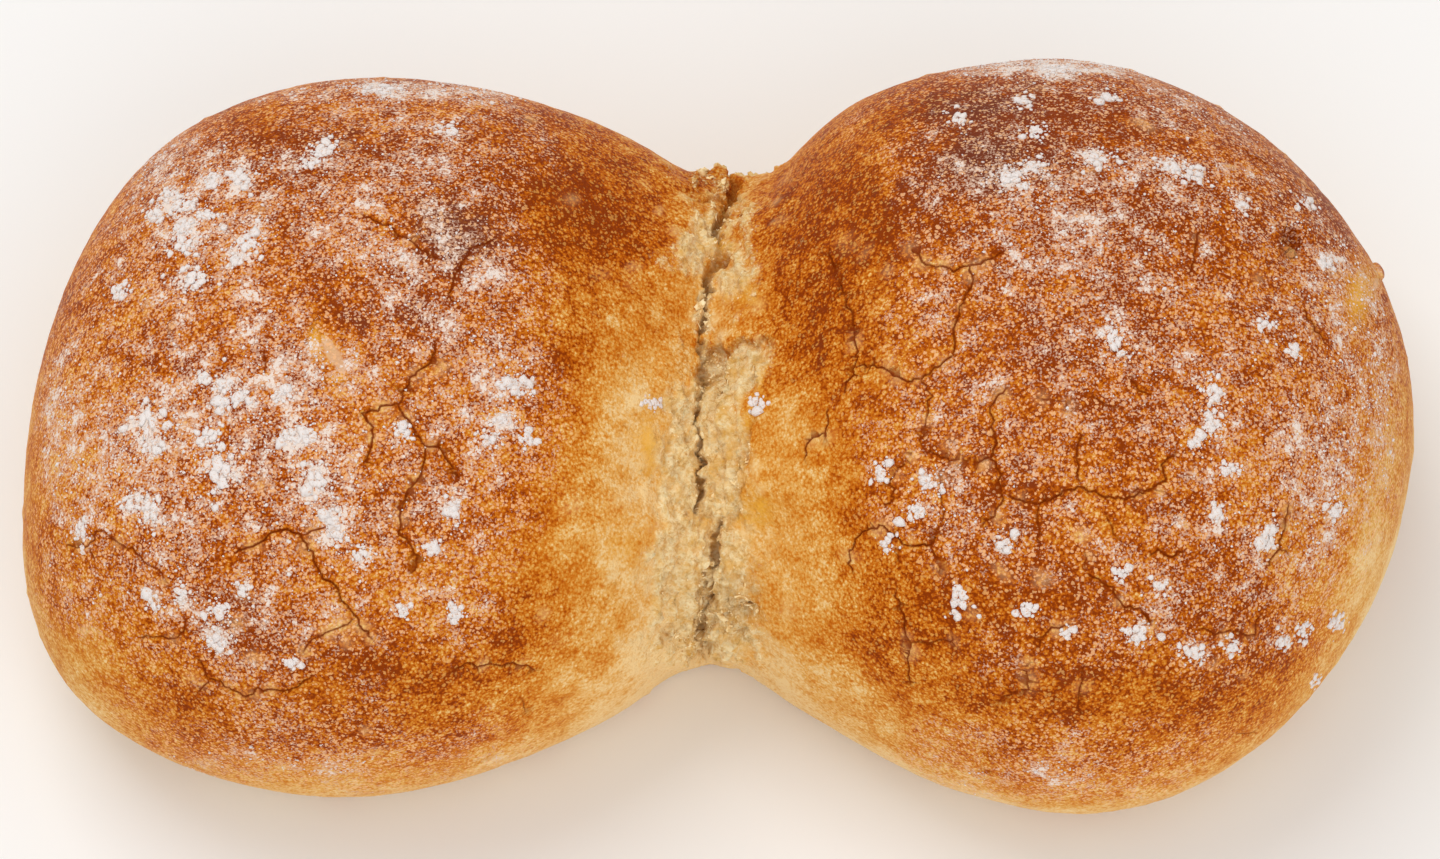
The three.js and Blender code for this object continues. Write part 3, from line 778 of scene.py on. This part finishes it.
class BREAD_OT_crust(bpy.types.Operator):
    """Make the crust: the skin with its seam, cracks, blisters and burst bubbles"""

    bl_idname = "bread.crust"
    bl_label = "Crust"

    def execute(self, context):
        settings = context.scene.bread_crust
        rng = np.random.default_rng(settings.seed)
        line = seam_line(Surface(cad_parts[ROLL].data))
        piece = bare_skin("crust", line)
        mesh = piece.data
        surface = Surface(mesh)
        samples = crack_samples(surface, rng)
        cracks = search_tree([place for place, _ in samples])
        ledges = search_tree([surface.at(*point)[0] for _, _, edge in STEPS for point in walk(edge)[0]])
        scars = search_tree([hit[0] for hit in (surface.at(*spot[:2]) for spot in SCARS) if hit])

        def longest(places):
            high = places[:, 2] > 0.5 * MM
            limit = np.where(high, settings.fine, 3.2 * MM)
            off = np.abs(from_seam(places, line))
            limit[(off < 8.5 * MM) & high] = 0.62 * MM
            limit[(off < 5 * MM) & (places[:, 2] > 20 * MM)] = 0.45 * MM
            limit[(off < 1.2 * MM) & (places[:, 2] > 20 * MM)] = 0.26 * MM
            for i in np.flatnonzero(places[:, 2] > 6 * MM):
                away = cracks.find(places[i])[2]
                for edge in CRACK["edges"]:
                    if away < edge:
                        limit[i] = min(limit[i], edge)
                if ledges.find(places[i])[2] < 0.7 * MM:
                    limit[i] = min(limit[i], 0.28 * MM)
                if scars.find(places[i])[2] < 2.6 * MM:
                    limit[i] = min(limit[i], 0.4 * MM)
            return limit

        refine(mesh, longest, 6)
        self.shape(mesh, surface, line, samples, cracks, rng, settings)
        activate(piece)
        bpy.ops.object.shade_smooth()
        mesh.materials.append(crust_material(settings))
        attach(piece, "root")
        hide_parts(ROLL)
        return {"FINISHED"}

    def shape(self, mesh, surface, line, samples, cracks, rng, settings):
        """Moves the vertices by the relief, and stores what the material reads."""
        places, normals = points_of(mesh)
        pixels = surface.pixels(places)
        facing = smoothstep(-0.15, 0.15, normals @ np.array(surface.toward))
        off = from_seam(places, line)
        close = np.abs(off) < SEAM["reach"]
        past_ends = np.maximum(places[close, 1] - line[0].max(), line[0].min() - places[close, 1])
        hidden = smoothstep(-2 * MM, 4 * MM, past_ends)
        off[close] += 0.3 * MM * field(places[close], 0.9 * MM, 4.2, 4)
        off[close] += hidden * 1.6 * MM * field(places[close], 5 * MM, 1.7, 2)
        for axis, start in ((0, 1.3), (1, 6.1)):
            pixels[close, axis] += SEAM["ragged"] * field(places[close], 2.4 * MM, start, 4)
        above = smoothstep(0.5 * MM, 5 * MM, places[:, 2])

        # Torn crumb: as painted where the camera looks, and a ragged band round the hidden side of the neck.
        strands, crags, gape = np.zeros(len(places)), np.zeros(len(places)), np.ones(len(places))
        strands[close] = field(places[close], np.array((1.4, 3.0, 2.2)) * MM, 9.1, 4)
        crags[close] = field(places[close], 1.2 * MM, 5.5, 4)
        gape[close] = np.clip(1 + 0.9 * field(places[close], 1.6 * MM, 6.6, 3), 0.4, 1.5)
        band = np.exp(-((off / (SEAM["hidden"] * (0.35 + 0.65 * gape))) ** 4))
        torn = painted(TORN, pixels, facing) + band * (1 - facing) + 0.45 * strands * close
        torn = smoothstep(0.15, 0.9, torn) * above * close
        scar = smoothstep(0.5, 0.72, painted(SCARS, pixels, facing))
        tear_relief = torn * (1.1 * MM * strands + 0.55 * MM * crags)
        width, depth = (np.interp(places[:, 1], line[0], line[i]) for i in (2, 3))
        width, depth = 0.85 * width * gape, depth * np.minimum(0.3 + 0.7 * gape, 1)
        crevice = np.exp(-((np.abs(off) / width) ** 3)) * above
        valley = np.exp(-((off / (2.2 * MM)) ** 2)) * above

        # The cracks: a groove whose edges the flour has left.
        away, openness = np.full(len(places), 1.0), np.zeros(len(places))
        for i in np.flatnonzero(places[:, 2] > 5 * MM):
            _, index, distance = cracks.find(places[i])
            if distance < CRACK["reach"]:
                away[i], openness[i] = distance, samples[index][1]
        groove = np.exp(-((away / CRACK["half_width"]) ** 4)) * openness
        clean = np.exp(-((away / CRACK["clean"]) ** 2)) * np.minimum(openness * 1.3, 1)
        lifted = np.exp(-(((away - 0.4 * MM) / (0.25 * MM)) ** 2)) * openness

        blister = blister_field(places, normals, rng, settings.blisters) * (1 - torn)
        blister = np.maximum(blister, painted(BUBBLES, pixels, facing))
        skin = 0.1 * MM * field(places, 4.5 * MM, 3.3, 3) + 0.04 * MM * field(places, 1.3 * MM, 8.8, 2)
        clots = np.zeros(len(places))
        for px, py, wide, high in CLOTS:
            hit = surface.at(px, py)
            if hit:
                reach = 1.5 * PIXEL * math.sqrt(wide * high)
                clots += np.exp(-(np.linalg.norm(places - np.array(hit[0]), axis=1) / reach) ** 2)
        dimples = painted([(x, y, w, h, -d * MM) for x, y, w, h, d in DIMPLES], pixels, facing)

        relief = (skin + settings.blister * blister) * (1 - torn) + tear_relief
        ledge, foot = below_edges(pixels, facing)
        relief -= crevice * depth + 0.35 * MM * valley + ledge * MM
        relief += dimples - CRACK["depth"] * groove + 0.05 * MM * lifted
        moved = places + normals * (relief * above)[:, None]
        low, high = (np.array(corner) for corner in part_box(ROLL))
        mesh.vertices.foreach_set("co", np.clip(moved, low, high).ravel())
        mesh.update()

        # What the material reads: the brown rises with height and falls towards the seam and the oven floor.
        # Painted spots add brown in places, and painted light that pales the side edges and the neck in shade.
        height = places[:, 2] / high[2]
        shade = np.exp(-((off / (13 * MM)) ** 2))
        browning = (0.63 * smoothstep(0.02, 0.7, height) + 0.05) * (1 - 0.4 * shade)
        browning += painted(BROWNED_AND_PAINTED_LIGHT, pixels, facing) + 0.1 * field(places, 12 * MM, 2.9, 2) - 0.22 * blister
        film = 0.34 * smoothstep(0.35, 0.8, height) * smoothstep(0.1, 0.6, normals[:, 2])
        film = film * (1 - shade) + painted(FILM, pixels, facing) - painted(BARE, pixels, facing)
        film += 0.12 * field(places, 9 * MM, 7.7, 3)
        film = np.clip(film, 0, 1) * (1 - 0.8 * torn) * above * (1 - 0.9 * clean)
        store(mesh, "browning", browning)
        store(mesh, "scorch", painted(SCORCHED, pixels, facing))
        store(mesh, "gold", np.clip(painted(GOLD, pixels, facing), 0, 1))
        store(mesh, "torn", torn)
        store(mesh, "scar", scar)
        store(mesh, "blister", blister)
        # Painted shade: darker towards the crevice brown in the crevice, at edges' feet and where the crumb lies deep.
        shaded = painted(PAINTED_CRUMB_SHADE, pixels, facing)
        store(mesh, "depth", np.clip(np.maximum(crevice * depth / (1.7 * MM), 0.8 * foot) + shaded, 0, 1))
        # Painted shade along the crack lines, over their darker brown.
        store(mesh, "crack", np.clip(groove * 2.2, 0, 1))
        store(mesh, "flour", film)
        store(mesh, "clot", np.clip(clots, 0, 1.2) * (1 - 0.6 * clean))


def prototypes(count, size, rng, **shape):
    """A few irregular lumps, each shaped from a ball or a sheet, as arrays of vertices and faces."""
    made = []
    for _ in range(count):
        deselect()
        if shape.get("sheet"):
            bpy.ops.mesh.primitive_grid_add(x_subdivisions=4, y_subdivisions=3, size=2)
        else:
            bpy.ops.mesh.primitive_uv_sphere_add(segments=shape["segments"], ring_count=shape["rings"], radius=1)
        piece = bpy.context.object
        bpy.ops.object.mode_set(mode="EDIT")
        bpy.ops.transform.resize(value=size)
        bpy.ops.object.mode_set(mode="OBJECT")
        mesh = piece.data
        seed = Vector(rng.uniform(0, 90, 3))
        for vertex in mesh.vertices:
            if shape.get("sheet"):
                x, y, _ = vertex.co
                ragged = 1 + 0.45 * noise.noise(vertex.co * 2.3 + seed)
                curl = 0.3 * x * x + 0.25 * noise.noise(vertex.co * 1.7 - seed)
                vertex.co = (x * ragged, y * ragged * (1 - 0.35 * abs(x)), curl)
            else:
                vertex.co += vertex.co * shape["rough"] * noise.fractal(vertex.co * 2.2 + seed, 1.0, 2.0, 2)
        if shape.get("sheet"):
            thick = piece.modifiers.new("thickness", "SOLIDIFY")
            thick.thickness = 0.16
            bpy.ops.object.modifier_apply(modifier=thick.name)
        made.append((np.array([v.co for v in mesh.vertices]), [tuple(p.vertices) for p in mesh.polygons]))
        bpy.data.objects.remove(piece)
        bpy.data.meshes.remove(mesh)
    return made


def scatter(name, shapes, spots, material):
    """One piece made of many copies. Each spot is a place, the direction off the skin, a size and a turn."""
    corners, faces, start = [], [], 0
    low, high = (np.array(corner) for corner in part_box(ROLL))
    for index, (place, outward, size, turn) in enumerate(spots):
        points, sides = shapes[index % len(shapes)]
        forward = outward.cross(Vector((1, 0, 0))).normalized()
        axes = Matrix((forward.cross(outward), forward, outward)).transposed() @ Matrix.Rotation(turn, 3, "Z")
        copy = (points * size) @ np.array(axes).T + np.array(place)
        copy -= np.maximum(copy.max(axis=0) - high, 0) - np.maximum(low - copy.min(axis=0), 0)
        corners.append(copy)
        faces.extend([tuple(start + i for i in side) for side in sides])
        start += len(points)
    mesh = bpy.data.meshes.new(name)
    mesh.from_pydata(np.concatenate(corners).tolist(), [], faces)
    piece = bpy.data.objects.new(name, mesh)
    bpy.context.collection.objects.link(piece)
    activate(piece)
    bpy.ops.object.shade_smooth()
    mesh.materials.append(material)
    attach(piece, "root")


class BREAD_OT_flour(bpy.types.Operator):
    """Make the flour: clots of dried lumps, and single grains where it lies as a film"""

    bl_idname = "bread.flour"
    bl_label = "Flour"

    def execute(self, context):
        settings = context.scene.bread_flour
        rng = np.random.default_rng(settings.seed)
        mesh = bpy.data.objects["crust"].data
        material = flour_material(context.scene.bread_crust)
        surface = Surface(mesh)
        plates, bits = [], []
        for px, py, wide, high in CLOTS:
            # A clot has cracked apart into a few plates that lie side by side.
            pieces, share = (2, 0.44) if wide * high < 60 else (4, 0.4)
            turned = rng.uniform(0, math.pi)
            for part in range(pieces):
                angle = turned + 2 * math.pi * (part + rng.uniform(-0.15, 0.15)) / pieces
                hit = surface.at(px + 0.5 * wide * math.cos(angle), py + 0.5 * high * math.sin(angle))
                if hit:
                    spread = PIXEL * np.array((wide, high / max(hit[1] @ surface.toward, 0.45)))
                    size = (*(spread * share * rng.uniform(0.8, 1.15, 2)), settings.thickness)
                    plates.append((hit[0], hit[1], np.array(size), rng.uniform(-0.5, 0.5)))
            for _ in range(settings.lumps):
                spread = rng.normal(0, 0.8, 2)
                hit = surface.at(px + wide * spread[0], py + high * spread[1])
                if hit:
                    bits.append((hit[0], hit[1], settings.lump * rng.lognormal(0, 0.5), rng.uniform(0, 6.3)))
        shapes = prototypes(9, (1, 1, 1), rng, segments=12, rings=6, rough=0.42)
        scatter("flour_clots", shapes, plates, material)
        shapes = prototypes(6, (1, 0.8, 0.45), rng, segments=7, rings=4, rough=0.6)
        scatter("flour_bits", shapes, bits, material)

        places, normals = points_of(mesh)
        flour = stored(mesh, "flour") + 0.6 * stored(mesh, "clot")
        pairs = edges_of(mesh)
        spacing = np.zeros(len(places))
        lengths = np.linalg.norm(places[pairs[:, 0]] - places[pairs[:, 1]], axis=1)
        for side in (0, 1):
            np.maximum.at(spacing, pairs[:, side], lengths)
        weight = np.clip(flour - 0.3, 0, 1) ** 1.5 * spacing**2
        chosen = rng.choice(len(places), settings.grains, p=weight / weight.sum())
        shift = rng.normal(0, 0.45, (settings.grains, 3)) * spacing[chosen][:, None]
        shift -= normals[chosen] * (shift * normals[chosen]).sum(axis=1)[:, None]
        spots = []
        for place, normal in zip(places[chosen] + shift, normals[chosen]):
            size = settings.grain * rng.lognormal(0, 0.35)
            spots.append((place, Vector(normal), size, rng.uniform(0, 6.3)))
        grains = prototypes(5, (1, 0.85, 0.7), rng, segments=5, rings=3, rough=0.6)
        scatter("flour_grains", grains, spots, material)
        return {"FINISHED"}


class BREAD_OT_crumbs(bpy.types.Operator):
    """Make the torn flakes and crumbs along the seam"""

    bl_idname = "bread.crumbs"
    bl_label = "Torn crumbs"

    def execute(self, context):
        settings = context.scene.bread_crumbs
        rng = np.random.default_rng(settings.seed)
        mesh = bpy.data.objects["crust"].data
        places, normals = points_of(mesh)
        depth = stored(mesh, "depth")
        torn = stored(mesh, "torn") * (places[:, 2] > 12 * MM)
        rim = torn * np.exp(-(((depth - 0.3) / 0.15) ** 2))
        material = crumb_material(context.scene.bread_crust)

        def spots(count, size, tilt, weight):
            chosen = rng.choice(len(places), count, p=weight / weight.sum())
            made = []
            for place, normal in zip(places[chosen], normals[chosen]):
                outward = (Vector(normal) + Vector(rng.normal(0, tilt, 3))).normalized()
                made.append((place, outward, size * rng.lognormal(0, 0.35), rng.uniform(0, 6.3)))
            return made

        flakes = prototypes(6, (1, 0.55, 1), rng, sheet=True)
        standing = spots(settings.flakes, settings.flake, 0.35, 0.02 * torn + rim)
        scatter("torn_flakes", flakes, standing, material)
        crumbs = prototypes(5, (1, 0.8, 0.7), rng, segments=7, rings=4, rough=0.9)
        lying = spots(settings.crumbs, settings.crumb, 0.2, 0.05 * torn + rim)
        scatter("torn_crumbs", crumbs, lying, material)
        return {"FINISHED"}


class BREAD_OT_stage(bpy.types.Operator):
    """Make the floor, the lights and the camera at the photograph's angle"""

    bl_idname = "bread.stage"
    bl_label = "Stage"

    def execute(self, context):
        settings = context.scene.bread_stage
        self.floor(settings)
        self.lights(settings)
        self.camera(context)
        return {"FINISHED"}

    def floor(self, settings):
        """A wide pale board that the roll stands on."""
        deselect()
        bpy.ops.mesh.primitive_plane_add(size=6, location=(0, 0, -0.05 * MM))
        board = bpy.context.object
        board.name = "floor"
        material = bpy.data.materials.new("matt_white_board")
        add = node_maker(material)
        shader = add("BsdfPrincipled", **{"Base Color": linear(settings.floor), "Roughness": 0.9})
        add("OutputMaterial", Surface=shader.outputs["BSDF"])
        board.data.materials.append(material)

    def lights(self, settings):
        """A broad key light from the far left, a fill from the near side, and an even white sky."""
        for name, power, size, place in (
            ("key", settings.key, 0.7, (-0.35, 0.45, 1.0)),
            ("fill", settings.fill, 1.2, (0.3, -0.9, 0.6)),
        ):
            bpy.ops.object.light_add(type="AREA", location=place)
            light = bpy.context.object
            light.name = name
            light.data.energy = power
            light.data.size = size
            light.rotation_euler = (-Vector(place)).to_track_quat("-Z", "Y").to_euler()
        world = bpy.data.worlds.new("studio")
        world.use_nodes = True
        background = world.node_tree.nodes["Background"]
        background.inputs["Color"].default_value = (1, 1, 1, 1)
        background.inputs["Strength"].default_value = settings.sky
        bpy.context.scene.world = world
        bpy.context.scene.view_settings.view_transform = "Standard"

    def camera(self, context):
        """The camera at the photograph's viewing angle."""
        toward = Vector((0, -math.cos(VIEW["elevation"]), math.sin(VIEW["elevation"])))
        lens = bpy.data.cameras.new("camera")
        lens.angle = 2 * math.atan(VIEW["width"] / 2 / VIEW["distance"])
        lens.clip_start = 0.01
        camera = bpy.data.objects.new("camera", lens)
        camera.location = Vector(VIEW["target"]) + toward * VIEW["distance"]
        camera.rotation_euler = (math.pi / 2 - VIEW["elevation"], 0, 0)
        context.collection.objects.link(camera)
        context.scene.camera = camera


SETTINGS = {
    "bread_crust": CrustSettings,
    "bread_flour": FlourSettings,
    "bread_crumbs": CrumbSettings,
    "bread_stage": StageSettings,
}
OPERATORS = (BREAD_OT_crust, BREAD_OT_flour, BREAD_OT_crumbs, BREAD_OT_stage)


class BREAD_PT_panel(bpy.types.Panel):
    """The bread roll's operators and settings"""

    bl_idname = "BREAD_PT_panel"
    bl_label = "Double Bread Roll"
    bl_space_type = "VIEW_3D"
    bl_region_type = "UI"
    bl_category = "Bread"

    def draw(self, context):
        for kind, group in zip(OPERATORS, SETTINGS):
            box = self.layout.box()
            box.operator(kind.bl_idname)
            for name in SETTINGS[group].__annotations__:
                box.prop(getattr(context.scene, group), name)


CLASSES = (*SETTINGS.values(), *OPERATORS, BREAD_PT_panel)


def register():
    for kind in CLASSES:
        bpy.utils.register_class(kind)
    for name, kind in SETTINGS.items():
        setattr(bpy.types.Scene, name, bpy.props.PointerProperty(type=kind))


def unregister():
    for name in SETTINGS:
        delattr(bpy.types.Scene, name)
    for kind in reversed(CLASSES):
        bpy.utils.unregister_class(kind)


def main():
    register()
    bpy.ops.bread.crust()
    bpy.ops.bread.flour()
    bpy.ops.bread.crumbs()
    bpy.ops.bread.stage()


if __name__ == "__main__":
    main()
